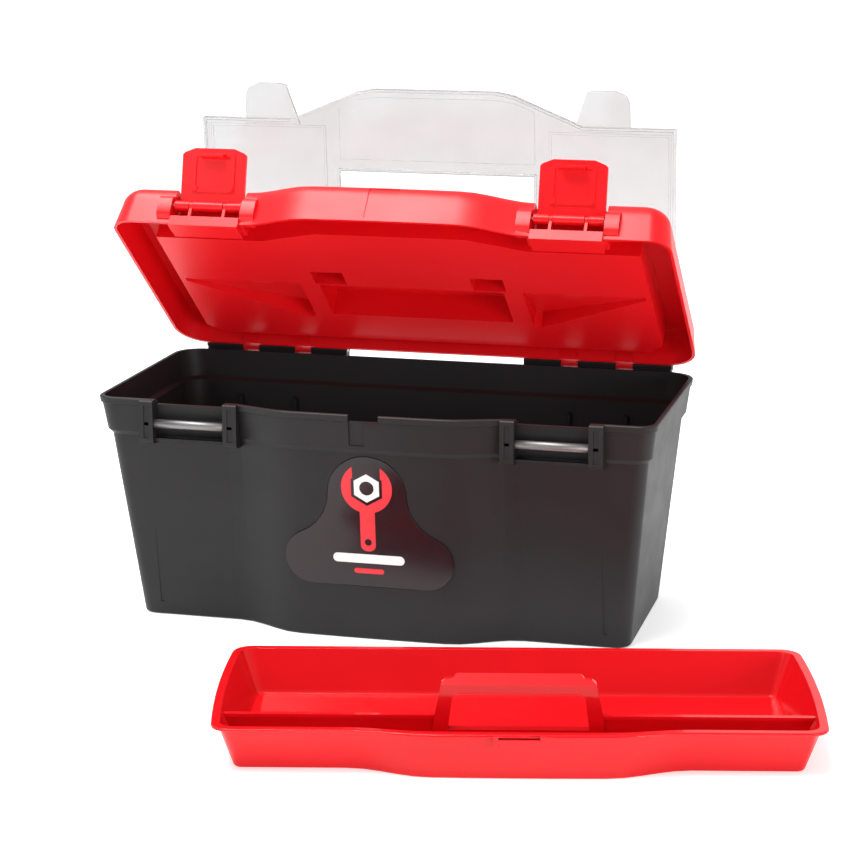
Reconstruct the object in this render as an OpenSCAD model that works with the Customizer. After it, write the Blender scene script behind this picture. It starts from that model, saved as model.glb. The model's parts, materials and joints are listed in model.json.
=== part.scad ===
/* [Box] */
// Outer width of the box at its rim
box_w = 482; // [460:2:520]
// Outer depth of the box at its rim, measured at the ends
box_d = 224; // [210:2:240]
// Height of the box's rim above the floor
box_h = 200; // [185:1:230]
// Wall thickness of the box, the lid and the tray's body
wall = 2.6; // [2.4:0.1:3]
// How far the front bulges forward at the rim
bow = 16; // [12:1:18]
// How much narrower each side of the foot is than the rim
side_taper = 25; // [22:1:32]
// How far the foot's front is set back behind the rim
front_taper = 36; // [30:1:40]

/* [Lid] */
// Height of the lid
lid_h = 35; // [33:1:38]
// Angle the lid stands open in the rest pose
lid_open = 38; // [25:1:60]
// Angle the clear cover stands open over the lid in the rest pose
cover_open = 47; // [35:1:60]

/* [Latches] */
// Distance of each latch from the middle
latch_x = 156; // [153:1:160]
// Width of a latch
latch_w = 57; // [54:1:58]
// Length of a latch below its pin
latch_len = 50.5; // [50:0.5:51.5]
// Angle a latch is swung up from closed in the rest pose
latch_open = 155; // [150:1:165]

/* [Handle] */
// Angle the carry handle is raised in the rest pose
handle_up = 0; // [0:5:95]

/* [Tray] */
// Height of the tray's rim
tray_h = 35.5; // [30:0.5:38]
// Height of the tray's handle above its foot
grip_h = 67; // [62:1:72]
// Place of the tray's middle beside the box, to the right
tray_x = 169; // [120:1:200]
// Place of the tray's middle, in front of the box
tray_y = -298; // [-340:1:-296]
// Turn of the tray on the floor
tray_turn = 13; // [0:1:15]

/* [Hidden] */
$fn = 48;

// Clearances
run_gap = 0.08;    // a turning fit, on the radius
seat_gap = 0.02;   // a fixed fit, on the radius
rim_gap = 0.4;     // between the lid's rim and the box's rim
side_gap = 0.6;    // between moving plastic faces
cut = 1;           // overshoot of a cut past a face

// Box
rim_hw = box_w / 2;
rim_y = box_d / 2;
collar_out = 5;                        // how far the collar stands off the wall
collar_z = box_h - 30;
collar_chamfer = 4;
bead_h = 5.5;                          // bead along the rim
bead_out = 1;
floor_t = 3;
rear_taper = 16;
foot_bow = bow + 10;                   // the bulge is deeper at the foot
bow_hw = 0.262 * box_w;                // half width of the bulge
corner_f = 12;
corner_r = 28;

// Strike pockets
pocket_hw = latch_w / 2 + 2.5;
rib_w = 12;
rib_out = 5.5;                         // how far the ribs stand off the rim
pocket_z = box_h - 33;                 // bottom of the pockets
rib_z = box_h - 37.5;                  // lower end of the ribs
dip = 4.5;                             // depth of the rim's dips over the pockets
bar_r = 3.7;
bar_y = -rim_y - 1.2;
bar_z = box_h - 20;
bar_seat = 8;                          // depth of the bar's seats in the ribs
notch_hw = 13;
groove_x = rim_hw - 45;                // shallow upright grooves near the ends of the front

// Badge
badge_z = 0.53 * box_h;
badge_w = 146;
badge_h = 116;
badge_top_r = 34;
badge_foot_r = 24;
badge_hollow = 40;
badge_t = 1.6;

// Lid hinge
hinge_y = rim_y + 8;
hinge_z = box_h + 3.4;
hinge_r = 5.5;
hinge_x = rim_hw - 91;
hinge_pin_r = 2;
lug_w = 34;
lug_step = 50;
knuckle_w = lug_step - lug_w - 1;

// Lid
lid_z = box_h + rim_gap;
lid_out = 1;                           // the lid's rim overhangs the box's rim
draft_h = 0.6 * lid_h;
draft_in = 3.5;
crown_in = 12;                         // width of the rounded top edge
well_z = 7;                            // underside of the wells above the lid's rim
well_hw = rim_hw - 29;
well_front = rim_y - 38.4;
well_rear = rim_y - 9;
well_wall = 2.6;
well_back = -24;                       // rear wall of the front centre well
centre_edge = 84;                      // half width of the front centre well at its rear
side_edge = 92;                        // inner wall of the front side wells
land_hw = 83;                          // half width of the handle's land
land_y0 = 2;
land_y1 = rim_y / 2 + 0.7;
centre_hw = 60;                        // half width of the front centre well
land_x = 100;                          // inner end of the three-cornered lands
land_reach = 65;                       // how far back they reach there
land_step = 1.2;                       // their roofs start this far above the wells' underside
land_rise = 0.23;                      // and rise towards the rear

// Latch
latch_y = -rim_y + 1.5;
latch_z = 18;
latch_pin_r = 1.6;
barrel_r = 4.2;
plate_off = 8.5;                       // from the pin's axis to the plate's inner face
plate_t = 3;
post_x = 15;
post_w = 2.4;
notch_back = -rim_y + 14.6;            // rear wall of the notch the latch swings in
bar_top = 5.5;                          // top of the rim bar below the notch
cheek_w = 12;

// Clear cover
cover_y = rim_y - 6;
cover_z = lid_h + 5;
cover_hw = rim_hw - 24;
cover_front = -rim_y + 44;
cover_top = lid_h + 8.4;
cover_t = 2.2;
cover_bow = 29;
cover_r = 4;
cover_pin_r = 1.5;
ear_w = 8;
ear_gap = 12;
cover_x = cover_hw - 67;
panel_hw = 90;                         // raised panel in the middle of the cover's front
frame_x = 103;                         // inner side of the raised frames over the side wells
tab_in = 126;
tab_out = 177;
tab_end = -rim_y + 11.6;
window_hw = 90;
window_y0 = -22;
window_y1 = land_y1 + 7;

// Carry handle
lug_hw0 = 60;
lug_hw1 = 82;
lug_y0 = -14;
lug_h = 14;
grip_y = land_y1 - 8;
grip_w = 16;
grip_t = 13;
arm_w = 11;
handle_hw = lug_hw0 - side_gap;
handle_pin_r = 3;
handle_y = -6;
handle_z = lid_h + 7;

// Tray
tray_hw = rim_hw - 13;
tray_yf = -rim_y + 14.5;
tray_yr = rim_y - 11.5;
tray_wall = 2.2;
tray_floor = 2.4;
flange = 4.5;
flange_t = 2.4;
tray_taper = 13;
tray_bow = bow / 2;                    // bulge of the front at the rim
tray_foot_bow = bow + 3;               // and at the foot
tray_end_in = 4.5;                     // how far the ends curve in at their corners
divider_y = -58;
divider_t = 2.4;
divider_bead = 5;                      // bead along the divider's top
clip_hw = 19;                          // clip in the middle of the tray's front rim
clip_w = 4;
arch_hw = 62;                          // half width of the tray's handle at its foot
arch_t = 8;
arch_foot = 14;
arch_gap = 24;                         // lower edge of the opening under the handle
arch_bar = 15;                         // height of the handle's bar
rest_z = box_h - 40;                   // where the stored tray's flange rests
rest_len = 45;
rest_x = [128, 180];
rest_w = 4.5;                          // how far the rests stand off the inner wall

// ---- outlines ----

// Points along an arc
function arc_pts(c, r, a0, a1, n) =
  [for (i = [0:n]) let (a = a0 + (a1 - a0) * i / n) [c[0] + r * cos(a), c[1] + r * sin(a)]];

// Share of the full bulge at u, the place across it from -1 to 1
function bulge(u) = abs(u) > 0.5
  ? 0.96 * (1 - cos(360 * (1 - abs(u)))) / 2
  : 0.96 + 0.04 * (1 - 4 * u * u);

// Box-like outline, anticlockwise from the left front corner
function ring(hw, yf, yr, b, rf, rr) = concat(
  arc_pts([-hw + rf, yf + rf], rf, 180, 270, 5),
  [for (i = [-10:10]) [bow_hw * i / 10, yf - b * bulge(i / 10)]],
  arc_pts([hw - rf, yf + rf], rf, 270, 360, 5),
  arc_pts([hw - rr, yr - rr], rr, 0, 90, 8),
  arc_pts([-hw + rr, yr - rr], rr, 90, 180, 8));

// Outline of the box's wall at height z, moved outwards by out
function wall_ring(z, out) = let (f = z / box_h) ring(
  (rim_hw - collar_out) * f + (rim_hw - side_taper) * (1 - f) + out,
  -(rim_y - collar_out) * f - (rim_y - front_taper) * (1 - f) - out,
  (rim_y - collar_out) * f + (rim_y - rear_taper) * (1 - f) + out,
  bow * f + foot_bow * (1 - f),
  corner_f + out / 2,
  corner_r - 6 + out / 2);

// Front and rear faces of the box's wall at height z, at the ends
function wall_y(z) = wall_ring(z, 0)[5][1];
function rear_y(z) = wall_ring(z, 0)[len(wall_ring(z, 0)) - 1 - 8][1];

// Outline of the lid, drawn in by side on the flanks and less at front and rear, and by t all round
function lid_ring(side, t) = ring(
  rim_hw + lid_out - side - t,
  -rim_y - lid_out + 0.45 * side + t,
  rim_y + lid_out - 0.5 * side - t,
  bow,
  18 - side / 2 - t,
  corner_r - 0.8 * side - t);

// Front of the lid's outline, in the middle
function lid_front(side) = lid_ring(side, 0)[16][1];

// How far the tray's ends stand in from their widest place, at the depth y
function tray_in(y) = let (t = (y - tray_yf) / (tray_yr - tray_yf)) tray_end_in
  * (t < 0.5 ? pow(1 - 2 * t, 2) : pow(2 * t - 1, 2));

// Outline of the tray at height z, drawn in by side: its ends are bowed outwards
function tray_ring(z, side) = let (
    f = z / tray_h,
    rf = 14 - side / 2,
    rr = 16 - side / 2,
    y0 = tray_yf + side + rf,
    y1 = tray_yr - side - rr,
    b = tray_bow * f + tray_foot_bow * (1 - f),
    end = [for (i = [0:8]) let (y = y0 + (y1 - y0) * i / 8) [tray_hw - side - tray_in(y), y]])
  concat(
    arc_pts([rf - end[0][0], y0], rf, 180, 270, 5),
    [for (i = [-10:10]) [bow_hw * i / 10, tray_yf + side - b * bulge(i / 10)]],
    arc_pts([end[0][0] - rf, y0], rf, 270, 360, 5),
    [for (i = [1:7]) end[i]],
    arc_pts([end[8][0] - rr, y1], rr, 0, 90, 6),
    arc_pts([rr - end[8][0], y1], rr, 90, 180, 6),
    [for (i = [7:-1:1]) [-end[i][0], end[i][1]]]);

// ---- solids ----

// Solid through a stack of like outlines at the heights zs
module skin(rings, zs) {
  n = len(rings[0]);
  m = len(rings);
  points = [for (i = [0:m - 1]) for (p = rings[i]) [p[0], p[1], zs[i]]];
  sides = [for (i = [0:m - 2]) for (j = [0:n - 1]) let (k = (j + 1) % n)
    each [[i * n + j, (i + 1) * n + j, (i + 1) * n + k], [i * n + j, (i + 1) * n + k, i * n + k]]];
  foot = [for (j = [0:n - 1]) j];
  top = [for (j = [n - 1:-1:0]) (m - 1) * n + j];
  polyhedron(points, concat([foot], sides, [top]));
}

// The last corner of a list first
function backwards(list) = [for (i = [len(list) - 1:-1:0]) list[i]];

// Box from corner a to corner b
module block(a, b) {
  translate(a) cube(b - a);
}

// Outline in the Y-Z plane, drawn out along X from x0 to x1
module along_x(x0, x1, points) {
  translate([x0, 0, 0]) rotate([90, 0, 90]) linear_extrude(x1 - x0) polygon(points);
}

// Round bar along X
module rod(x0, x1, y, z, r) {
  translate([x0, y, z]) rotate([0, 90, 0]) cylinder(r = r, h = x1 - x0);
}

module both_sides() {
  children();
  mirror([1, 0, 0]) children();
}

// ---- placing ----

// From the lid's own frame, with its rim at z = 0, to its rest pose
module in_lid() {
  translate([0, hinge_y, hinge_z]) rotate([-lid_open, 0, 0])
    translate([0, -hinge_y, lid_z - hinge_z]) children();
}

module in_cover() {
  in_lid() translate([0, cover_y, cover_z]) rotate([-cover_open, 0, 0])
    translate([0, -cover_y, -cover_z]) children();
}

// From the folded handle to its rest pose
module in_handle() {
  in_lid() translate([0, handle_y, handle_z]) rotate([handle_up, 0, 0])
    translate([0, -handle_y, -handle_z]) children();
}

// From a latch's own frame, with its pin at the origin, to its rest pose
module in_latch(x) {
  in_lid() translate([x, latch_y, latch_z]) rotate([-latch_open, 0, 0]) children();
}

module on_floor() {
  translate([tray_x, tray_y, 0]) rotate(tray_turn) children();
}

// ---- box ----

// Floor and walls, up the outside and down the inside; the inside steps out behind the collar
module box_wall() {
  step_z = collar_z + wall;
  bead_z = box_h - bead_h;
  outside = [[0, -1.5], [1.5, 0], [collar_z - collar_chamfer, 0], [collar_z, collar_out - 2],
    [bead_z - 1, collar_out - bead_out - 0.3], [bead_z, collar_out], [box_h - 0.8, collar_out],
    [box_h, collar_out - 0.8]];
  inside = [[box_h, collar_out - bead_out - wall], [step_z + 3, collar_out - 2 - wall], [step_z, -wall],
    [floor_t + 3, -wall], [floor_t, -wall - 2]];
  stack = concat(outside, inside);
  skin([for (s = stack) wall_ring(s[0], s[1])], [for (s = stack) s[0]]);
}

// Two ribs around a strike pocket, to the right of the middle, the lip under it and the wall behind it
module strike_frame() {
  y0 = -rim_y - rib_out;
  low = collar_z + 1;
  high = collar_z + 7;
  rib = [[wall_y(rib_z) + 1, rib_z - 1], [y0 + 4, rib_z], [y0 + 1, rib_z + 1.2], [y0, rib_z + 4],
    [y0, box_h - 1], [y0 + 1, box_h], [wall_y(box_h) - 2, box_h], [wall_y(high) - 2, high],
    [wall_y(low) + 1, low]];
  for (s = [-1, 1]) {
    x = latch_x + s * (pocket_hw + rib_w / 2);
    along_x(x - rib_w / 2, x + rib_w / 2, rib);
  }
  along_x(latch_x - pocket_hw - 1, latch_x + pocket_hw + 1,
    [[wall_y(pocket_z) + 1, pocket_z - 4], [-rim_y + 2, pocket_z - 3], [-rim_y, pocket_z - 1.5],
      [-rim_y, pocket_z + 1], [wall_y(pocket_z) + 1, pocket_z + 1]]);
  top = box_h - dip / 2;
  along_x(latch_x - pocket_hw - 2, latch_x + pocket_hw + 2,
    [[wall_y(low) - 1, low], [wall_y(low) + wall, low], [wall_y(top) + wall, top], [wall_y(top) - 1, top]]);
}

module strike_pocket() {
  y0 = -rim_y - rib_out - cut;
  along_x(latch_x - pocket_hw, latch_x + pocket_hw,
    [[y0, pocket_z], [wall_y(pocket_z) - 0.4, pocket_z], [wall_y(box_h) - 0.4, box_h - dip],
        [y0, box_h - dip]]);
  block([latch_x - pocket_hw, -rim_y - rib_out - cut, box_h - dip],
      [latch_x + pocket_hw, -rim_y + 20, box_h + cut]);
  rod(latch_x - pocket_hw - bar_seat, latch_x + pocket_hw + bar_seat, bar_y, bar_z, bar_r + seat_gap);
  for (s = [-1, 1]) {
    x = latch_x + s * (pocket_hw + rib_w / 2);
    // shallow groove down the rib's front
    block([x - 2.2, y0, pocket_z + 1], [x + 2.2, y0 + cut + 0.8, box_h - 4]);
  }
}

module box_hinge() {
  z0 = box_h - 26;
  for (i = [-1:1]) {
    x = hinge_x + i * lug_step;
    along_x(x - lug_w / 2, x + lug_w / 2,
      [[rear_y(z0) + 1.5, z0], [hinge_y + hinge_r - 0.4, z0 + 14], [hinge_y + hinge_r - 0.4, hinge_z],
       [hinge_y - hinge_r + 0.4, hinge_z], [hinge_y - hinge_r + 0.4, box_h - 0.5],
       [rear_y(box_h) + 2.5, box_h - 0.5]]);
    rod(x - lug_w / 2, x + lug_w / 2, hinge_y, hinge_z, hinge_r);
  }
}

// Ribs inside that the stored tray's flange rests on
module tray_rests() {
  foot = rest_z - rest_len;
  toe = rest_z - 6;
  for (x = rest_x) {
    along_x(x - 1.5, x + 1.5, [[rear_y(foot) - 1.3, foot], [rear_y(rest_z) - wall - rest_w, toe],
      [rear_y(rest_z) - wall - rest_w, rest_z], [rear_y(rest_z) - 1.3, rest_z]]);
    along_x(x - 1.5, x + 1.5, [[wall_y(foot) + 1.3, foot], [wall_y(rest_z) + wall + rest_w, toe],
      [wall_y(rest_z) + wall + rest_w, rest_z], [wall_y(rest_z) + 1.3, rest_z]]);
  }
}

module box_shell() {
  color("#2a292b") difference() {
    union() {
      box_wall();
      both_sides() strike_frame();
      both_sides() box_hinge();
      both_sides() tray_rests();
    }
    both_sides() strike_pocket();
    both_sides() rod(hinge_x - 1.5 * lug_step - lug_w, hinge_x + 1.5 * lug_step + lug_w, hinge_y, hinge_z,
      hinge_pin_r + seat_gap);
    // notch in the rim's front, with a shallow recess below it
    block([-notch_hw, -rim_y - bow - 10, box_h - bead_h], [notch_hw, -rim_y - bow + 15, box_h + cut]);
    along_x(-notch_hw, 0, [[-rim_y - bow - 10, collar_z + 3], [front_mid(collar_z + 3), collar_z + 3],
      [front_mid(box_h), box_h], [-rim_y - bow - 10, box_h]]);
    both_sides() front_groove();
    badge_seat() linear_extrude(5) offset(delta = 0.3) badge_outline();
  }
}

// Bottom of the recess in the collar's middle, 1 mm deep
function front_mid(z) = wall_y(z) - collar_out + 3 - bow * z / box_h - foot_bow * (1 - z / box_h);

// Upright groove that follows the slope of the front
module front_groove() {
  x0 = groove_x - 1.5;
  along_x(x0, x0 + 3, [[wall_y(12) - 3, 12], [wall_y(12) + 0.7, 12], [wall_y(rib_z) + 0.7, rib_z - 8],
      [wall_y(rib_z) - 3, rib_z - 8]]);
}

module strike_bar(s) {
  color("#b9b9bc")
    rod(s * latch_x - pocket_hw - bar_seat, s * latch_x + pocket_hw + bar_seat, bar_y, bar_z, bar_r);
}

module hinge_pin(s) {
  half = lug_step + lug_w / 2;
  color("#8d8f92") {
    rod(s * hinge_x - half, s * hinge_x + half, hinge_y, hinge_z, hinge_pin_r);
    end = s > 0 ? half : -half - 1.5;
    rod(s * hinge_x + end, s * hinge_x + end + 1.5, hinge_y, hinge_z, hinge_pin_r + 1.6);
  }
}

// Three-lobed outline with hollow sides
module badge_outline() {
  offset(r = -badge_hollow) offset(delta = badge_hollow) {
    translate([0, badge_h / 2 - badge_top_r]) circle(r = badge_top_r);
    hull() for (s = [-1, 1])
      translate([s * (badge_w / 2 - badge_foot_r), badge_foot_r - badge_h / 2]) circle(r = badge_foot_r);
  }
}

// From the badge's own plane to its seat on the bulge, which leans with the wall
module badge_seat() {
  lean = atan((front_taper - collar_out - (foot_bow - bow)) / box_h);
  bulge_here = bow + (foot_bow - bow) * (1 - badge_z / box_h);
  translate([0, wall_y(badge_z) - 0.96 * bulge_here + 0.4, badge_z]) rotate([90 + lean, 0, 0]) children();
}

module front_badge() {
  color("#1c1a1d") badge_seat() linear_extrude(badge_t) badge_outline();
}

// ---- lid ----

// The lid's rounded top edge in steps, t inside the outer face, from the flank to the top:
// [how far in, t, height]
function crown(t, step) = [for (a = [0:step:90])
  [draft_in + crown_in * (1 - cos(a)), t, draft_h + (lid_h - draft_h - t) * sin(a)]];

// Top plate and skirt, down the inside and up the outside
module lid_wall() {
  ceiling = ring(well_hw, -well_front - 10, rim_y - 20, 0, 4, 4);
  stack = concat(backwards(crown(wall, 30)), [[0, wall, 0], [0, 0, 0]], crown(0, 15));
  skin(concat([ceiling], [for (s = stack) lid_ring(s[0], s[1])]),
    concat([lid_h - wall], [for (s = stack) s[2]]));
}

// Outline of the block of wells, drawn in by t
function well_outline(t) = concat(
  [[-well_hw + t, -well_front + t], [-bow_hw + 10, -well_front + t]],
  [for (u = [-1, 1]) [u * (centre_hw + 6), -well_front - bow + t]],
  [[bow_hw - 10, -well_front + t], [well_hw - t, -well_front + t], [well_hw - t, well_rear - 14],
      [well_hw - 14, well_rear - t],
   [-well_hw + 14, well_rear - t], [-well_hw + t, well_rear - 14]]);

// Three-cornered land between the front and rear wells, on the right, drawn in by t
function land_outline(t) = [[land_x + t, t], [well_hw - 5 - 3 * t, t], [well_hw - 5 - 3 * t, 5 - t / 2],
    [land_x + 6 + t, land_reach - 1.5 * t], [land_x + t, land_reach - 4 - 1.5 * t]];

// Roof of the land at the depth y, lifted by rise
function land_roof(y, rise) = well_z + land_step + land_rise * y + rise;

// Space under the land's roof, or over it, inside the land's outline drawn in by t
module land_space(t, rise, z0, over) {
  y0 = -lid_h;
  y1 = land_reach + lid_h;
  far = over ? 2 * lid_h : -lid_h;
  intersection() {
    translate([0, 0, z0]) linear_extrude(2 * lid_h) polygon(land_outline(t));
    along_x(land_x - wall, well_hw + wall, over
      ? [[y0, land_roof(y0, rise)], [y1, land_roof(y1, rise)], [y1, far], [y0, far]]
      : [[y0, far], [y1, far], [y1, land_roof(y1, rise)], [y0, land_roof(y0, rise)]]);
  }
}

module latch_house() {
  x0 = latch_x - pocket_hw - 3;
  x1 = latch_x + pocket_hw + 3;
  along_x(x0, x1, [[-rim_y + 2.5, 0.4], [-rim_y + 2.5, draft_h + 3], [-rim_y + 5.2, lid_h - 4],
    [-rim_y + 6.5, lid_h - 1.8], [notch_back + 2.4, lid_h - 1.8], [notch_back + 2.4, 0.4]]);
  // rim bar, which drops into the box's dip
  block([latch_x - pocket_hw + side_gap, -rim_y - 3.5, -3.5], [latch_x + pocket_hw - side_gap,
      notch_back + 2.4, bar_top]);
  for (s = [-1, 1]) {
    x = latch_x + s * (pocket_hw + cheek_w / 2);
    y0 = -rim_y - rib_out;
    along_x(x - cheek_w / 2, x + cheek_w / 2,
      [[-rim_y + 8, 3], [y0 + 4, 3.5], [y0 + 1, 6], [y0, 9], [y0, latch_z + 2], [y0 + 2, latch_z + 6],
          [y0 + 6, latch_z + 8],
       [-rim_y + 8, latch_z + 8]]);
  }
}

module latch_notch() {
  block([latch_x - pocket_hw, -rim_y - 20, bar_top], [latch_x + pocket_hw, notch_back, lid_h + 10]);
}

// Thin posts inside the notch that carry the latch's pin
module latch_posts() {
  for (s = [-1, 1]) {
    x = latch_x + s * post_x;
    block([x - post_w / 2, latch_y - 2, bar_top - 1], [x + post_w / 2, latch_y + 2, latch_z]);
    rod(x - post_w / 2, x + post_w / 2, latch_y, latch_z, 3.6);
  }
}

module lid_knuckles() {
  for (s = [-1, 1]) {
    x = hinge_x + s * lug_step / 2;
    z = hinge_z - lid_z;
    along_x(x - knuckle_w / 2, x + knuckle_w / 2,
      [[rim_y - 3, 1], [hinge_y - hinge_r + 1, z - 3], [hinge_y, z], [hinge_y + 3, z + 4.6],
          [rim_y - 3, 15]]);
    rod(x - knuckle_w / 2, x + knuckle_w / 2, hinge_y, z, hinge_r);
  }
}

module cover_ears() {
  for (s = [-1, 1]) {
    x = cover_x + s * (ear_gap + ear_w) / 2;
    block([x - ear_w / 2, cover_y - cover_r - 0.5, lid_h - 4], [x + ear_w / 2, cover_y + cover_r, cover_z]);
    rod(x - ear_w / 2, x + ear_w / 2, cover_y, cover_z, cover_r + 0.5);
  }
}

module handle_lugs() {
  for (s = [-1, 1]) {
    x0 = s > 0 ? lug_hw0 : -lug_hw1;
    along_x(x0, x0 + lug_hw1 - lug_hw0,
      [[lug_y0 - 2, lid_h - 2], [lug_y0, lid_h + lug_h - 3], [lug_y0 + 3, lid_h + lug_h],
          [-1, lid_h + lug_h],
       [2, lid_h + lug_h - 3], [4, lid_h - 2]]);
  }
}

// Hollows under the lugs, open below, with the pins' tips showing in them
module lug_hollows() {
  for (s = [-1, 1]) {
    x0 = s > 0 ? lug_hw0 + 2.6 : -lug_hw1 + 2.2;
    x1 = s > 0 ? lug_hw1 - 2.2 : -lug_hw0 - 2.6;
    block([x0, lug_y0 + 1.5, well_z - cut], [x1, land_y0 - 2, lid_h + lug_h - 3]);
  }
  // wider at their foot
  both_sides() block([lug_hw0 - 3, well_back + well_wall, well_z - cut],
    [lug_hw1 + 4, land_y0 - 2, lid_h - wall]);
}

// Everything that is open from the lid's top
module wells() {
  z0 = well_z + well_wall;
  h = lid_h + cut - z0;
  w = well_wall;
  front = cover_front + 2;
  // front side wells
  both_sides() block([side_edge, front, z0], [well_hw - w, -w, lid_h + cut]);
  // front centre well, into the bulge
  translate([0, 0, z0]) linear_extrude(h)
    polygon([[-centre_edge, front], [-centre_hw, front - bow], [centre_hw, front - bow],
      [centre_edge, front], [centre_edge, well_back], [-centre_edge, well_back]]);
  // rear side wells, behind the lands
  both_sides() translate([0, 0, z0]) linear_extrude(h)
    polygon([[land_x + 8, land_reach + w], [well_hw - w, 8 + w], [well_hw - w, well_rear - 15],
      [well_hw - 15, well_rear - w], [land_x, well_rear - w], [land_x, land_reach + w]]);
  // rear centre well, behind the handle
  block([5 - land_x, land_y1 + w, z0], [land_x - 5, well_rear - w, lid_h + cut]);
}

// The lid without the small pieces that stand in its openings
module lid_body() {
  difference() {
    union() {
      lid_wall();
      translate([0, 0, well_z]) linear_extrude(lid_h - 1 - well_z) polygon(well_outline(0));
      both_sides() latch_house();
    }
    wells();
    both_sides() latch_notch();
  }
}

module lid_shell() {
  color("#d8141b") in_lid() difference() {
    union() {
      lid_body();
      both_sides() latch_posts();
      both_sides() lid_knuckles();
      both_sides() cover_ears();
      handle_lugs();
    }
    // the handle's land and the three-cornered lands, hollow from below
    block([-land_hw, land_y0, well_z - cut], [land_hw, land_y1, lid_h - wall]);
    both_sides() land_space(0, 0, well_z - cut, false);
    both_sides() land_space(well_wall, well_wall, well_z + well_wall, true);
    lug_hollows();
    both_sides() rod(latch_x - pocket_hw - 8, latch_x + pocket_hw + 8, latch_y, latch_z,
        latch_pin_r + seat_gap);
    both_sides() rod(hinge_x - lug_step, hinge_x + lug_step, hinge_y, hinge_z - lid_z,
        hinge_pin_r + run_gap);
    both_sides() rod(cover_x - ear_gap / 2 - ear_w - cut, cover_x + ear_gap / 2 + ear_w + cut, cover_y,
        cover_z, cover_pin_r + seat_gap);
    rod(-lug_hw0 - 6, lug_hw0 + 6, handle_y, handle_z, handle_pin_r + run_gap);
    // the skirt's shallow recess over the box's notch
    along_x(-notch_hw, notch_hw, concat([[lid_front(0) - 5, 3], [lid_front(0) + 1, 3]],
      [for (s = crown(0, 20)) if (s[2] < lid_h - 1) [lid_front(s[0]) + 1, s[2]]],
      [[lid_front(0) - 5, lid_h + 3]]));
  }
}

module latch_pin(s) {
  color("#8d8f92") in_lid()
    rod(s * latch_x - pocket_hw - 8, s * latch_x + pocket_hw + 8, latch_y, latch_z, latch_pin_r);
}

module cover_pin(s) {
  half = ear_gap / 2 + ear_w;
  color("#8d8f92") in_lid() rod(s * cover_x - half, s * cover_x + half, cover_y, cover_z, cover_pin_r);
}

// Latch in its own frame: pin at the origin, plate hanging down in front of it
module latch_body() {
  hw = latch_w / 2;
  inner = -plate_off;
  outer = -plate_off - plate_t;
  hook_r = norm([bar_y - latch_y, latch_z + lid_z - bar_z]) + bar_r + 0.4;
  difference() {
    union() {
      // plate with sloped end corners
      translate([0, inner, 0]) rotate([90, 0, 0]) linear_extrude(plate_t)
        polygon([[-hw, 2], [-hw, 5.5 - latch_len], [-hw + 2, 3.6 - latch_len], [-hw + 11, -latch_len],
          [hw - 11, -latch_len], [hw - 2, 3.6 - latch_len], [hw, 5.5 - latch_len], [hw, 2]]);
      block([-hw - 1, outer, -4], [hw + 1, 0, barrel_r]);
      rod(-hw - 1, hw + 1, 0, 0, barrel_r);
      // raised frame on the inner face
      difference() {
        block([-19, inner - 0.5, 4.5 - latch_len], [19, inner + 1.2, -13]);
        block([-15.5, inner, 7.5 - latch_len], [15.5, inner + 2, -16]);
      }
      for (x = [-16, 16]) translate([x, inner - 0.5, -16]) rotate([-90, 0, 0]) cylinder(r = 2.4, h = 3);
      // hook that passes under the strike bar
      along_x(-11, 11,
        [[inner - 0.5, -hook_r - 3], [1.5, -hook_r - 2.2], [1.5, -hook_r - 0.2], [bar_y - latch_y, -hook_r],
          [inner - 0.5, 1.2 - hook_r]]);
    }
    rod(-hw - 2, hw + 2, 0, 0, latch_pin_r + run_gap);
    for (x = [-post_x, post_x]) rod(x - post_w / 2 - 0.5, x + post_w / 2 + 0.5, 0, 0, barrel_r + 0.4);
  }
}

module latch(s) {
  color("#e0161d") in_latch(s * latch_x) latch_body();
}

// Clear cover's outline: straight ends, a bulge in the middle and two tabs
function cover_outline(t) = [
  [-cover_hw + t, cover_front + t],
  [-tab_in - 8, cover_front + t], [-72, cover_front - cover_bow + 3 + t],
      [-56, cover_front - cover_bow + t],
  [56, cover_front - cover_bow + t], [72, cover_front - cover_bow + 3 + t], [tab_in + 8, cover_front + t],
  [cover_hw - t, cover_front + t], [cover_hw - t, cover_y - cover_r - t],
      [-cover_hw + t, cover_y - cover_r - t]];

// Outline of the raised panel, which follows the bulge
function panel_outline() = let (y = cover_front - cover_bow + 8) [
  [-panel_hw, y + 10], [-72, y + 2.5], [-56, y], [56, y], [72, y + 2.5], [panel_hw, y + 10],
  [panel_hw, window_y0 - 10], [-panel_hw, window_y0 - 10]];

module cover_tab() {
  translate([0, 0, cover_top - 4.2]) linear_extrude(2.6)
    polygon([[tab_in, cover_front + 4], [tab_in + 12, tab_end + 1.5], [tab_in + 18, tab_end],
      [tab_out - 13, tab_end], [tab_out - 4, tab_end + 4], [tab_out - 1, tab_end + 10],
      [tab_out, cover_front + 4]]);
}

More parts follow.
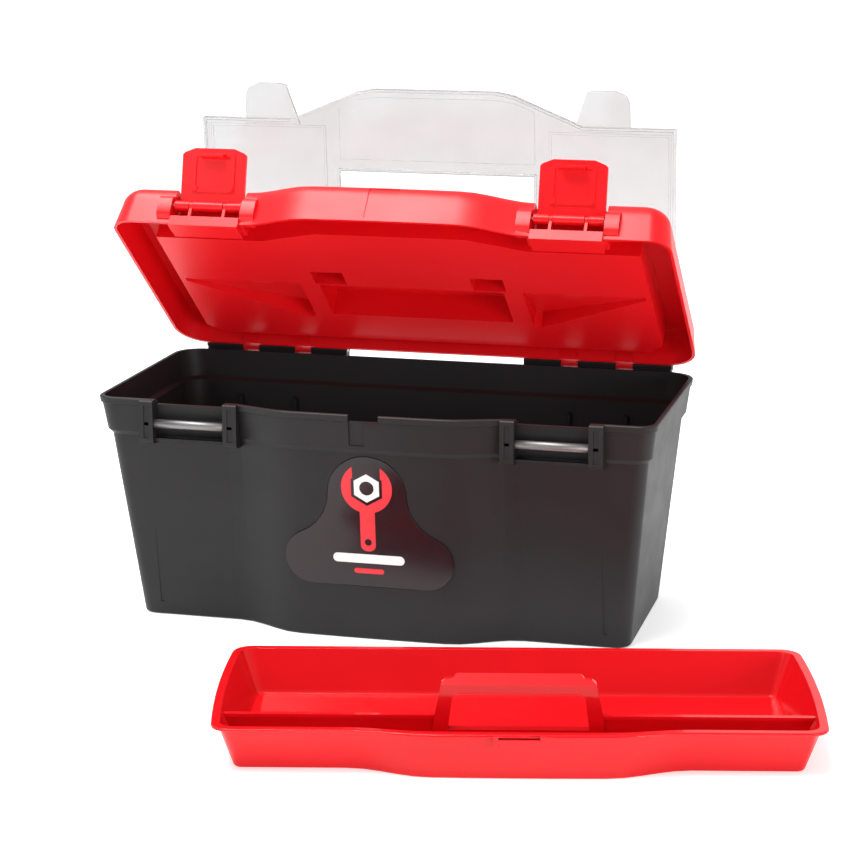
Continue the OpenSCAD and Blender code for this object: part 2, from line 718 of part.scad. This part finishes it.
module clear_cover() {
  z0 = lid_h + side_gap;
  color([0.93, 0.94, 0.95, 0.45]) in_cover() difference() {
    union() {
      difference() {
        translate([0, 0, z0]) linear_extrude(cover_top - z0) polygon(cover_outline(0));
        translate([0, 0, z0 - cut]) linear_extrude(cover_top - cover_t - z0 + cut)
            polygon(cover_outline(2));
      }
      // rim of the handle's window
      block([-window_hw - 2, window_y0 - 2, z0 + 2], [window_hw + 2, window_y1 + 2, cover_top]);
      // raised panel in the middle of the front, and raised frames over the side wells
      translate([0, 0, cover_top - 1]) linear_extrude(2.4) polygon(panel_outline());
      both_sides() difference() {
        block([frame_x, cover_front + 6, cover_top - 1], [cover_hw - 5, cover_y - 16, cover_top + 1.2]);
        block([frame_x + 2, cover_front + 8, cover_top - 2], [cover_hw - 7, cover_y - 18, cover_top + 2]);
      }
      both_sides() cover_tab();
      // hinge tongues
      both_sides() {
        rod(cover_x - ear_gap / 2 + 0.4, cover_x + ear_gap / 2 - 0.4, cover_y, cover_z, cover_r);
        block([cover_x - ear_gap / 2 + 0.4, cover_y - cover_r - 2, cover_z - 1],
            [cover_x + ear_gap / 2 - 0.4, cover_y, cover_z + cover_r - 0.6]);
      }
    }
    block([-window_hw, window_y0, z0 - cut], [window_hw, window_y1, cover_top + 3]);
    both_sides() rod(cover_x - ear_gap, cover_x + ear_gap, cover_y, cover_z, cover_pin_r + run_gap);
    // room for the lid's ears
    both_sides() for (s = [-1, 1]) {
      x = cover_x + s * (ear_gap + ear_w) / 2;
      rod(x - ear_w / 2 - 0.4, x + ear_w / 2 + 0.4, cover_y, cover_z, cover_r + 1.1);
      block([x - ear_w / 2 - 0.4, cover_y - cover_r - 1.1, lid_h],
          [x + ear_w / 2 + 0.4, cover_y + 5, cover_z]);
    }
  }
}

// Handle, which folds back on the land between its lugs
module carry_handle() {
  z0 = lid_h + side_gap;
  color("#242326") in_handle() difference() {
    union() {
      for (s = [-1, 1]) {
        x0 = s > 0 ? handle_hw - arm_w : -handle_hw;
        along_x(x0, x0 + arm_w, [[handle_y - 3, z0 + 1], [handle_y, z0], [grip_y + 4, z0],
            [grip_y + 4, z0 + grip_t - 2],
          [handle_y, handle_z + 6], [handle_y - 4, handle_z + 4], [handle_y - 6, handle_z]]);
      }
      block([-handle_hw, grip_y - grip_w / 2 + 3, z0 + 1], [handle_hw, grip_y + grip_w / 2 - 1.5,
          z0 + grip_t - 1]);
      block([-handle_hw + 4, grip_y - grip_w / 2, z0 + 3], [handle_hw - 4, grip_y + grip_w / 2,
          z0 + grip_t - 3]);
    }
    rod(-handle_hw - cut, -handle_hw + arm_w - 2, handle_y, handle_z, handle_pin_r + seat_gap);
    rod(handle_hw - arm_w + 2, handle_hw + cut, handle_y, handle_z, handle_pin_r + seat_gap);
  }
}

module handle_pin(s) {
  x0 = handle_hw - arm_w + 2;
  x1 = lug_hw0 + 6;
  color("#b9b9bc") in_lid() rod(s > 0 ? x0 : -x1, s > 0 ? x1 : -x0, handle_y, handle_z, handle_pin_r);
}

// ---- tray ----

module tray_shell() {
  lip = tray_h - flange_t;
  foot = flange + tray_taper;
  outside = [[0, foot], [1.5, foot - 1.5], [lip, flange + 0.8], [lip, 0.6], [lip + 0.6, 0], [tray_h - 0.6, 0],
    [tray_h, 0.6]];
  inside = [[tray_h, flange + tray_wall], [tray_floor + 3, foot + tray_wall - 1],
    [tray_floor, foot + tray_wall + 1.5]];
  stack = concat(outside, inside);
  clip_y = tray_yf - tray_bow;
  color("#e0161d") on_floor() {
    skin([for (s = stack) tray_ring(s[0], s[1])], [for (s = stack) s[0]]);
    // clip on the front flange: two posts and a bar
    for (x = [-clip_hw, clip_hw - clip_w])
      block([x, clip_y - 1.6, tray_h - 9], [x + clip_w, clip_y + 5, tray_h - 0.7]);
    block([-clip_hw + 1, clip_y - 1, tray_h - 7.6], [clip_hw - 1, clip_y + 5, tray_h - 3.4]);
  }
}

// Wall along the tray that rises into the handle's arch
module tray_divider() {
  a = arch_hw;
  g = grip_h - arch_bar;
  half_arch = [[a, tray_h], [a - 3.5, grip_h - 15], [a - 5, grip_h - 8], [a - 8, grip_h - 5.5],
    [a - 14, grip_h - 4.5], [a - 17, grip_h - 1], [a - 21, grip_h]];
  half_gap = [[a - 10, arch_gap], [a - 13, g - 4], [a - 17, g]];
  arch = concat([for (q = half_arch) [-q[0], q[1]]], backwards(half_arch));
  gap = concat([for (q = half_gap) [-q[0], q[1]]], backwards(half_gap));
  top = tray_h - 1;
  end_hw = tray_hw - tray_in(divider_y - divider_bead / 2) - flange - tray_wall;
  foot_hw = end_hw - tray_taper - 3;
  top_hw = end_hw - 1.4;
  color("#e0161d") on_floor() difference() {
    union() {
      translate([0, divider_y + divider_t / 2, 0]) rotate([90, 0, 0]) linear_extrude(divider_t)
        polygon([[-foot_hw, tray_floor], [foot_hw, tray_floor], [top_hw, top], [-top_hw, top]]);
      block([-top_hw + 1.2, divider_y - divider_bead / 2, top - 2.5],
        [top_hw - 1.2, divider_y + divider_bead / 2, top]);
      translate([0, divider_y + arch_t / 2, 0]) rotate([90, 0, 0]) linear_extrude(arch_t)
        polygon(concat([[-a - 2, arch_foot]], arch, [[a + 2, arch_foot]]));
    }
    translate([0, divider_y + arch_t, 0]) rotate([90, 0, 0]) linear_extrude(2 * arch_t) polygon(gap);
  }
}

box_shell();
strike_bar(-1);  // strike_bar_left
strike_bar(1);  // strike_bar_right
front_badge();
hinge_pin(-1);  // hinge_pin_left
hinge_pin(1);  // hinge_pin_right
lid_shell();
latch_pin(-1);  // latch_pin_left
latch_pin(1);  // latch_pin_right
cover_pin(-1);  // cover_pin_left
cover_pin(1);  // cover_pin_right
latch(-1);  // latch_left
latch(1);  // latch_right
clear_cover();
carry_handle();
handle_pin(-1);  // handle_pin_left
handle_pin(1);  // handle_pin_right
tray_shell();
tray_divider();
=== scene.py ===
import json
import math

import bpy
from mathutils import Matrix, Vector

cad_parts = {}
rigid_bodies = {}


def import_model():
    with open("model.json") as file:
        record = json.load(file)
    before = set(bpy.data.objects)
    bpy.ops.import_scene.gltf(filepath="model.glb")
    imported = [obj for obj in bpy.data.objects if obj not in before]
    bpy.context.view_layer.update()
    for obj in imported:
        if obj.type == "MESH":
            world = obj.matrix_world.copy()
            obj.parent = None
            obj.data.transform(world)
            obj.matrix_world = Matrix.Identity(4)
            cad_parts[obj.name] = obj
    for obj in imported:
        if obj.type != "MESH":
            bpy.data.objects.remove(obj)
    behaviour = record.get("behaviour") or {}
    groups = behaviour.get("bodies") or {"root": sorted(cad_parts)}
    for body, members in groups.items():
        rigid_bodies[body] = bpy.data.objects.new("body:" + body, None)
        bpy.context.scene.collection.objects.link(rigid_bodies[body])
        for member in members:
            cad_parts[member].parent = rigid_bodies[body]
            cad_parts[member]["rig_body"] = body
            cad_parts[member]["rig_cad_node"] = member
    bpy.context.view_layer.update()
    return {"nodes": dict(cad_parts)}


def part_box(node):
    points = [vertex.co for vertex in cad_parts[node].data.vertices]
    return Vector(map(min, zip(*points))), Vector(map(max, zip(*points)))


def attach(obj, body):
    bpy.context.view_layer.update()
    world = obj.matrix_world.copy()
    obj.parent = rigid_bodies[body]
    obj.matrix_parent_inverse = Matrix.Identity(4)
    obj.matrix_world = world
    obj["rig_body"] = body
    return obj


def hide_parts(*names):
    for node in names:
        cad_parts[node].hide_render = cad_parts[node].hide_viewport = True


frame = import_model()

nodes = frame["nodes"]

MERGE = 0.00002              # vertices closer than this are one, metres
CREASE = 32                  # edges sharper than this stay sharp, degrees
JOIN = 0.4                   # neighbouring faces within this angle are one, degrees
LEVEL = 0.99                 # the upright part of a level face's normal is larger
FACING = -0.9                # the Y part of a front face's normal is smaller
NOISE_LOW, NOISE_HIGH = 0.3, 0.7     # a noise texture seldom leaves this span
PRINT_THICK = 0.5            # the badge's print, mm
CUT_THICK = 2                # what cuts through the print, mm
WHITE = (1, 1, 1, 1)


def mm(*values):
    """A point or a length in millimetres, as metres."""
    if len(values) == 1:
        return values[0] / 1000
    return Vector(values) / 1000


# ---------------------------------------------------------------- camera, floor, light

def place_camera():
    spot = mm(561.6, -2120.9, 668.3)
    target = mm(-9.6, 118.0, 137.1)
    data = bpy.data.cameras.new("main_camera")
    data.sensor_width = 36
    data.lens = 109.39
    data.clip_end = 60
    camera = bpy.data.objects.new("main_camera", data)
    bpy.context.scene.collection.objects.link(camera)
    camera.location = spot
    camera.rotation_euler = (target - spot).to_track_quat("-Z", "Y").to_euler()
    bpy.context.scene.camera = camera


def soft_light(name, spot, target, width, height, power, seen=True):
    """A softbox at a spot, aimed at a target (metres, watts)."""
    data = bpy.data.lights.new(name, "AREA")
    data.shape = "RECTANGLE"
    data.size = width
    data.size_y = height
    data.energy = power
    light = bpy.data.objects.new(name, data)
    bpy.context.scene.collection.objects.link(light)
    light.location = spot
    light.rotation_euler = (Vector(target) - Vector(spot)).to_track_quat("-Z", "Y").to_euler()
    light.visible_camera = seen
    light.visible_glossy = seen


def studio_air():
    """World light: dim towards the front, bright behind and above, plain white where it is seen."""
    world = bpy.data.worlds.new("studio_air")
    bpy.context.scene.world = world
    world.use_nodes = True
    tree = world.node_tree
    tree.nodes.clear()

    def node(kind, **values):
        made = tree.nodes.new(kind)
        for key, value in values.items():
            made.inputs[key.replace("_", " ")].default_value = value
        return made

    way = node("ShaderNodeTexCoord")
    parts = node("ShaderNodeSeparateXYZ")
    tree.links.new(way.outputs["Generated"], parts.inputs["Vector"])
    depth = node("ShaderNodeMapRange", From_Min=-0.75, From_Max=0.45, To_Min=0.17, To_Max=0.85)
    height = node("ShaderNodeMapRange", From_Min=0.2, From_Max=0.9, To_Min=0.0, To_Max=0.2)
    tree.links.new(parts.outputs["Y"], depth.inputs["Value"])
    tree.links.new(parts.outputs["Z"], height.inputs["Value"])
    total = node("ShaderNodeMath")
    tree.links.new(depth.outputs["Result"], total.inputs[0])
    tree.links.new(height.outputs["Result"], total.inputs[1])
    light = node("ShaderNodeBackground", Color=WHITE)
    tree.links.new(total.outputs["Value"], light.inputs["Strength"])
    seen = node("ShaderNodeBackground", Color=WHITE, Strength=1.0)
    rays = node("ShaderNodeLightPath")
    mix = node("ShaderNodeMixShader")
    end = node("ShaderNodeOutputWorld")
    tree.links.new(rays.outputs["Is Camera Ray"], mix.inputs["Fac"])
    tree.links.new(light.outputs["Background"], mix.inputs[1])
    tree.links.new(seen.outputs["Background"], mix.inputs[2])
    tree.links.new(mix.outputs["Shader"], end.inputs["Surface"])


def studio():
    bpy.context.scene.view_settings.view_transform = "Standard"
    studio_air()
    soft_light("key_box", (-0.62, -0.72, 2.75), (0, -0.1, 0.3), 2.3, 0.8, 108)
    soft_light("inner_fill", (0, 0.0, 0.15), (0, 0.1, 0.45), 0.4, 0.12, 0.17, seen=False)
    soft_light("left_box", (-1.4, -2.55, 1.3), (-0.16, -0.05, 0.38), 0.7, 0.6, 7)
    soft_light("right_box", (2.0, -1.9, 0.42), (0, -0.05, 0.28), 1.2, 0.5, 24)

    select_none()
    bpy.ops.mesh.primitive_plane_add(size=30, location=(0, 6, -0.0002))
    floor = bpy.context.object
    floor.name = "studio_floor"
    paint(floor, floor_paper())


# ---------------------------------------------------------------- materials

class Finish:
    """A material under construction: nodes are added by type and joined by name."""

    def __init__(self, name):
        self.material = bpy.data.materials.new(name)
        self.material.use_nodes = True
        self.tree = self.material.node_tree
        self.shader = self.tree.nodes["Principled BSDF"]
        self.place = self.add("ShaderNodeTexCoord").outputs["Object"]

    def add(self, kind, **settings):
        node = self.tree.nodes.new(kind)
        for key, value in settings.items():
            node.inputs[key.title()].default_value = value
        return node

    def join(self, source, target):
        self.tree.links.new(source, target)

    def set(self, **values):
        for key, value in values.items():
            self.shader.inputs[key.replace("_", " ")].default_value = value

    def stretched(self, size):
        """Object coordinates with another scale along each axis, for streaks."""
        mapping = self.add("ShaderNodeMapping")
        mapping.inputs["Scale"].default_value = size
        self.join(self.place, mapping.inputs["Vector"])
        return mapping.outputs["Vector"]

    def noise(self, scale, detail=3, rough=0.5, place=None):
        node = self.add("ShaderNodeTexNoise", scale=scale, detail=detail, roughness=rough)
        self.join(place or self.place, node.inputs["Vector"])
        return node.outputs["Fac"]

    def tones(self, source, first, second, high=NOISE_HIGH):
        """Base colour that drifts from one tone to another."""
        node = self.add("ShaderNodeValToRGB")
        for point, at, tone in zip(node.color_ramp.elements, (NOISE_LOW, high), (first, second)):
            point.position = at
            point.color = (*tone, 1)
        self.join(source, node.inputs["Fac"])
        self.join(node.outputs["Color"], self.shader.inputs["Base Color"])

    def sheen(self, source, low, high):
        """Roughness that wanders between two values."""
        node = self.add("ShaderNodeMapRange")
        span = {"From Min": NOISE_LOW, "From Max": NOISE_HIGH, "To Min": low, "To Max": high}
        for key, value in span.items():
            node.inputs[key].default_value = value
        self.join(source, node.inputs["Value"])
        self.join(node.outputs["Result"], self.shader.inputs["Roughness"])

    def bump(self, source, depth, distance, under=None):
        """Surface grain, on top of another grain if one is given."""
        node = self.add("ShaderNodeBump", strength=depth, distance=distance)
        self.join(source, node.inputs["Height"])
        if under is not None:
            self.join(under, node.inputs["Normal"])
        self.join(node.outputs["Normal"], self.shader.inputs["Normal"])
        return node.outputs["Normal"]


def moulded(name, colours, rough, grain, scuff=0.03):
    """Injection-moulded plastic: slow colour drift, faint scuffs, fine grain on broad unevenness."""
    f = Finish(name)
    f.tones(f.noise(9), *colours)
    scuffs = f.noise(26, rough=0.55, place=f.stretched((0.6, 1, 1.6)))
    f.sheen(scuffs, rough - scuff, rough + scuff)
    fine = f.bump(f.noise(700, detail=2, rough=0.6), grain, 0.0002)
    f.bump(f.noise(12, detail=1, rough=0.4), grain * 0.5, 0.0006, under=fine)
    return f


def black_plastic():
    tones = (0.0105, 0.010, 0.011), (0.014, 0.013, 0.014)
    f = moulded("black_plastic", tones, rough=0.5, grain=0.12)
    f.set(IOR=1.33)
    return f.material


def handle_plastic():
    tones = (0.018, 0.017, 0.019), (0.023, 0.021, 0.024)
    return moulded("handle_plastic", tones, rough=0.42, grain=0.2).material


def red_plastic(name, tones, index, gloss):
    f = moulded(name, tones, rough=0.36, grain=0.05)
    f.set(IOR=index, Coat_Weight=gloss, Coat_Roughness=0.08)
    return f.material


def clear_plastic():
    f = Finish("clear_plastic")
    f.tones(f.noise(30, detail=4, rough=0.6), (0.68, 0.685, 0.69), (0.72, 0.725, 0.73))
    f.sheen(f.noise(200, detail=5, rough=0.7), 0.1, 0.2)
    f.bump(f.noise(300, detail=2), 0.05, 0.0002)
    f.set(IOR=1.42, Transmission_Weight=0.92)
    return f.material


def steel(name, colour, rough):
    """Drawn steel: fine lines along the bar, which lies along X."""
    f = Finish(name)
    lines = f.noise(900, detail=4, rough=0.7, place=f.stretched((0.05, 1, 1)))
    f.tones(lines, [part * 0.82 for part in colour], colour)
    f.sheen(lines, rough - 0.07, rough + 0.1)
    f.bump(lines, 0.08, 0.0001)
    f.set(Metallic=1.0)
    return f.material


def badge_plastic():
    f = Finish("badge_plastic")
    # The tone drifts between near black and a dark red: the dark red patches are a painted
    # reflection of the red lid and tray.
    f.tones(f.noise(14), (0.010, 0.008, 0.010), (0.020, 0.010, 0.012))
    f.sheen(f.noise(120, detail=4), 0.12, 0.2)
    f.bump(f.noise(700, detail=2), 0.03, 0.0002)
    f.set(IOR=1.4)
    return f.material


def print_ink(name, colour):
    """Pad-printed ink: solid, a little uneven, with a soft gloss."""
    f = Finish(name)
    patches = f.noise(240, detail=4, rough=0.6)
    f.tones(patches, [part * 0.88 for part in colour], colour, high=0.6)
    f.sheen(patches, 0.34, 0.5)
    f.bump(f.noise(900, detail=2), 0.06, 0.0001)
    return f.material


def floor_paper():
    f = Finish("floor_paper")
    f.tones(f.noise(3), (0.86, 0.86, 0.86), (0.88, 0.88, 0.88))
    f.set(Roughness=0.7, Emission_Color=WHITE, Emission_Strength=0.48)
    return f.material


# ---------------------------------------------------------------- modelling helpers

def select_none():
    if bpy.context.object and bpy.context.object.mode != "OBJECT":
        bpy.ops.object.mode_set(mode="OBJECT")
    bpy.ops.object.select_all(action="DESELECT")


def hold(piece):
    """Makes the piece the only selected and the active object."""
    select_none()
    piece.select_set(True)
    bpy.context.view_layer.objects.active = piece


def apply_modifiers(piece):
    hold(piece)
    for modifier in list(piece.modifiers):
        bpy.ops.object.modifier_apply(modifier=modifier.name)


def merge_doubles(piece):
    hold(piece)
    bpy.ops.object.mode_set(mode="EDIT")
    bpy.ops.mesh.select_all(action="SELECT")
    bpy.ops.mesh.remove_doubles(threshold=MERGE)
    bpy.ops.object.mode_set(mode="OBJECT")


def round_edges(piece, width, segments, angle):
    """Rounds all edges sharper than an angle."""
    rounding = piece.modifiers.new("edges", "BEVEL")
    rounding.width = mm(width)
    rounding.segments = segments
    rounding.limit_method = "ANGLE"
    rounding.angle_limit = math.radians(angle)
    apply_modifiers(piece)


def even_shading(piece, angle):
    """Smooth over the rounded edges, with the flat faces kept flat."""
    hold(piece)
    bpy.ops.object.mode_set(mode="EDIT")
    bpy.ops.mesh.select_mode(type="FACE")
    bpy.ops.mesh.select_all(action="DESELECT")
    bpy.ops.mesh.select_face_by_sides(number=4, type="GREATER")
    bpy.ops.mesh.quads_convert_to_tris(quad_method="BEAUTY", ngon_method="BEAUTY")
    bpy.ops.object.mode_set(mode="OBJECT")
    bpy.ops.object.shade_smooth_by_angle(angle=math.radians(angle))
    weighted = piece.modifiers.new("weighted", "WEIGHTED_NORMAL")
    weighted.mode = "FACE_AREA"
    weighted.weight = 80
    weighted.keep_sharp = True
    apply_modifiers(piece)


def combine(piece, tool, operation):
    """Joins the tool's shape to the piece, or takes it out; the tool is used up."""
    hold(piece)
    change = piece.modifiers.new("change", "BOOLEAN")
    change.operation = operation
    change.solver = "EXACT"
    change.object = tool
    apply_modifiers(piece)
    bpy.data.objects.remove(tool, do_unlink=True)


def paint(piece, material):
    piece.data.materials.clear()
    piece.data.materials.append(material)


def finish_piece(piece, body, material, replaced=()):
    paint(piece, material)
    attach(piece, body)
    if replaced:
        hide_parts(*replaced)


# ---------------------------------------------------------------- skins over the CAD nodes

def refill(piece, level):
    """Closes the flat face at a height again, from its own outline."""
    hold(piece)
    bpy.ops.object.mode_set(mode="EDIT")
    bpy.ops.mesh.select_mode(type="FACE")
    bpy.ops.mesh.select_all(action="DESELECT")
    bpy.ops.object.mode_set(mode="OBJECT")
    for face in piece.data.polygons:
        face.select = abs(face.normal.z) > LEVEL and abs(face.center.z - level) < mm(0.05)
    bpy.ops.object.mode_set(mode="EDIT")
    bpy.ops.mesh.delete(type="FACE")
    bpy.ops.mesh.select_mode(type="EDGE")
    bpy.ops.mesh.select_non_manifold(
        extend=False, use_wire=False, use_boundary=True, use_multi_face=False,
        use_non_contiguous=False, use_verts=False)
    bpy.ops.mesh.fill(use_beauty=False)
    bpy.ops.mesh.select_all(action="SELECT")
    bpy.ops.mesh.normals_make_consistent(inside=False)
    bpy.ops.object.mode_set(mode="OBJECT")


def shell_copy(node, name, edge, steps=2, flats=()):
    """A finished skin over a CAD node: its mesh merged, flat faces joined, edges rounded."""
    piece = nodes[node].copy()
    piece.data = nodes[node].data.copy()
    piece.name = name
    piece.data.name = name
    piece.parent = None
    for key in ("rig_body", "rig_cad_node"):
        if key in piece:
            del piece[key]
    bpy.context.scene.collection.objects.link(piece)
    merge_doubles(piece)
    for level in flats:
        refill(piece, mm(level))
    hold(piece)
    bpy.ops.object.mode_set(mode="EDIT")
    bpy.ops.mesh.select_all(action="SELECT")
    bpy.ops.mesh.dissolve_limited(angle_limit=math.radians(JOIN))
    bpy.ops.object.mode_set(mode="OBJECT")
    if edge:
        round_edges(piece, edge, steps, 28)
    even_shading(piece, CREASE)
    return piece


def skin(node, name, edge, body, slot, material, **shape):
    """Shows a finished skin in place of its CAD node."""
    finish_piece(shell_copy(node, name, edge, **shape), body, material, [node])


def bar_between_ribs(side):
    """The strike bar, ending just inside the ribs that hold it."""
    node = f"strike_bar_{side}"
    piece = shell_copy(node, f"strike_rod_{side}", 0.3)
    low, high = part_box(node)
    inset = mm(7.5)
    for vertex in piece.data.vertices:
        vertex.co.x = min(max(vertex.co.x, low[0] + inset), high[0] - inset)
    merge_doubles(piece)
    return piece


def sloped_arch(slope_high=6.2, slope_deep=7.4):
    """The tray's divider and handle, with the handle's front sloping back to its top."""
    piece = shell_copy("tray_divider", "tray_arch", 0)
    front = max((f for f in piece.data.polygons if f.normal.y < FACING), key=lambda f: f.area)
    up = Vector((0, 0, 1))
    out = Vector((front.normal.x, front.normal.y, 0)).normalized()
    across = up.cross(out)
    facing = (out * slope_high + up * slope_deep).normalized()
    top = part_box("tray_divider")[1][2]
    foot = Vector((front.center.x, front.center.y, top - mm(slope_high)))
    length, half = mm(300), mm(30)
    select_none()
    bpy.ops.mesh.primitive_cube_add(size=1, scale=(length, 2 * half, 2 * half))
    bpy.ops.object.transform_apply()
    tool = bpy.context.object
    turn = Matrix((across, facing.cross(across), facing)).transposed().to_4x4()
    tool.data.transform(Matrix.Translation(foot + facing * half) @ turn)
    combine(piece, tool, "DIFFERENCE")
    round_edges(piece, 2.0, 4, 30)
    even_shading(piece, CREASE)
    return piece


# ---------------------------------------------------------------- badge print

def badge_plane():
    """Place and turn of the badge's front face: its middle, across, up and outwards."""
    mesh = nodes["front_badge"].data
    face = max((p for p in mesh.polygons if p.normal.y < FACING), key=lambda p: p.area)
    out = face.normal.copy()
    low, high = (Vector(corner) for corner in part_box("front_badge"))
    across = Vector((1, 0, 0))
    up = out.cross(across)
    middle = Vector(((low.x + high.x) / 2, face.center.y, face.center.z))
    height = (low.z + high.z) / 2
    middle += up * ((height - middle.z) / up.z)
    return Matrix((
        (across.x, up.x, out.x, middle.x),
        (across.y, up.y, out.y, middle.y),
        (across.z, up.z, out.z, middle.z),
        (0, 0, 0, 1)))


def disc(radius, y, sides, thick=PRINT_THICK):
    """Flat disc on the badge's middle line, at a height y."""
    select_none()
    bpy.ops.mesh.primitive_cylinder_add(
        vertices=sides, radius=mm(radius), depth=mm(thick), location=mm(0, y, 0))
    bpy.ops.object.transform_apply()
    return bpy.context.object


def slab(width, height, y, thick=PRINT_THICK, corner=0.0):
    """Flat bar on the badge's middle line, with its corners rounded in the plane."""
    select_none()
    bpy.ops.mesh.primitive_cube_add(size=1, location=mm(0, y, 0), scale=mm(width, height, thick))
    bpy.ops.object.transform_apply()
    piece = bpy.context.object
    if corner:
        upright = piece.modifiers.new("corners", "BEVEL")
        upright.width = mm(corner)
        upright.segments = 6
        upright.limit_method = "WEIGHT"
        weight = piece.data.attributes.new("bevel_weight_edge", "FLOAT", "EDGE")
        for edge in piece.data.edges:
            a, b = (piece.data.vertices[i].co for i in edge.vertices)
            weight.data[edge.index].value = 1.0 if abs(a.z - b.z) > mm(thick / 2) else 0.0
        apply_modifiers(piece)
    return piece


def on_badge(piece, name, material):
    """Sets a flat print on the badge, a little raised, with a fine rounded rim."""
    piece.name = name
    piece.data.name = name
    piece.data.transform(badge_plane() @ Matrix.Translation(mm(0, 0, 0.05)))
    round_edges(piece, 0.12, 2, 50)
    even_shading(piece, 35)
    finish_piece(piece, "box", material)


def badge_print():
    """A spanner on a nut, over two plain bars."""
    white_ink = print_ink("white_ink", (0.82, 0.8, 0.79))
    red_ink = print_ink("red_ink", (0.72, 0.02, 0.03))
    head = 30                   # height of the nut and the spanner's head

    nut = disc(12.5, head, 6)
    combine(nut, disc(6.2, head, 40, CUT_THICK), "DIFFERENCE")
    on_badge(nut, "badge_nut", white_ink)

    spanner = disc(22, head, 64)
    stem = slab(13, 44, -4, corner=5.5)
    hex_seat = disc(15.5, head, 6, CUT_THICK)
    jaw_gap = slab(24, 26, 50, CUT_THICK)
    eye = disc(3, -18, 32, CUT_THICK)
    combine(spanner, stem, "UNION")
    for tool in (hex_seat, jaw_gap, eye):
        combine(spanner, tool, "DIFFERENCE")
    on_badge(spanner, "badge_spanner", red_ink)

    on_badge(slab(62, 8, -33, corner=3.9), "badge_bar_wide", white_ink)
    on_badge(slab(26, 4.5, -44, corner=2.2), "badge_bar_small", red_ink)


# ---------------------------------------------------------------- the toolbox

black = black_plastic()
red = red_plastic("red_plastic", ((0.66, 0.0022, 0.005), (0.71, 0.004, 0.008)), 1.38, 0.0)
tray_red = red_plastic("tray_plastic", ((0.58, 0.0022, 0.005), (0.63, 0.004, 0.008)), 1.15, 0.5)
clear = clear_plastic()
grip_black = handle_plastic()
bar_steel = steel("bar_steel", (0.24, 0.235, 0.235), 0.46)
pin_steel = steel("pin_steel", (0.5, 0.5, 0.51), 0.36)
badge_gloss = badge_plastic()

place_camera()
studio()

skin("box_shell", "bin", 0.8, "box", "black_plastic", black, flats=(0,))
skin("lid_shell", "lid", 0.8, "lid", "red_plastic", red)
skin("tray_shell", "tray", 1.1, "tray", "red_plastic", tray_red, steps=3, flats=(0, 2.4))
finish_piece(sloped_arch(), "tray", tray_red, ["tray_divider"])
skin("clear_cover", "cover", 0.5, "cover", "clear_plastic", clear)
skin("carry_handle", "handle", 1.6, "handle", "handle_plastic", grip_black, steps=3)
skin("front_badge", "badge", 0.5, "box", "badge_plastic", badge_gloss)
badge_print()
for side in ("left", "right"):
    skin(f"latch_{side}", f"latch_plate_{side}", 0.7, f"{side}_latch", "red_plastic", red)
    finish_piece(bar_between_ribs(side), "box", bar_steel, [f"strike_bar_{side}"])
    for pin in ("hinge", "latch", "cover", "handle"):
        paint(nodes[f"{pin}_pin_{side}"], pin_steel)
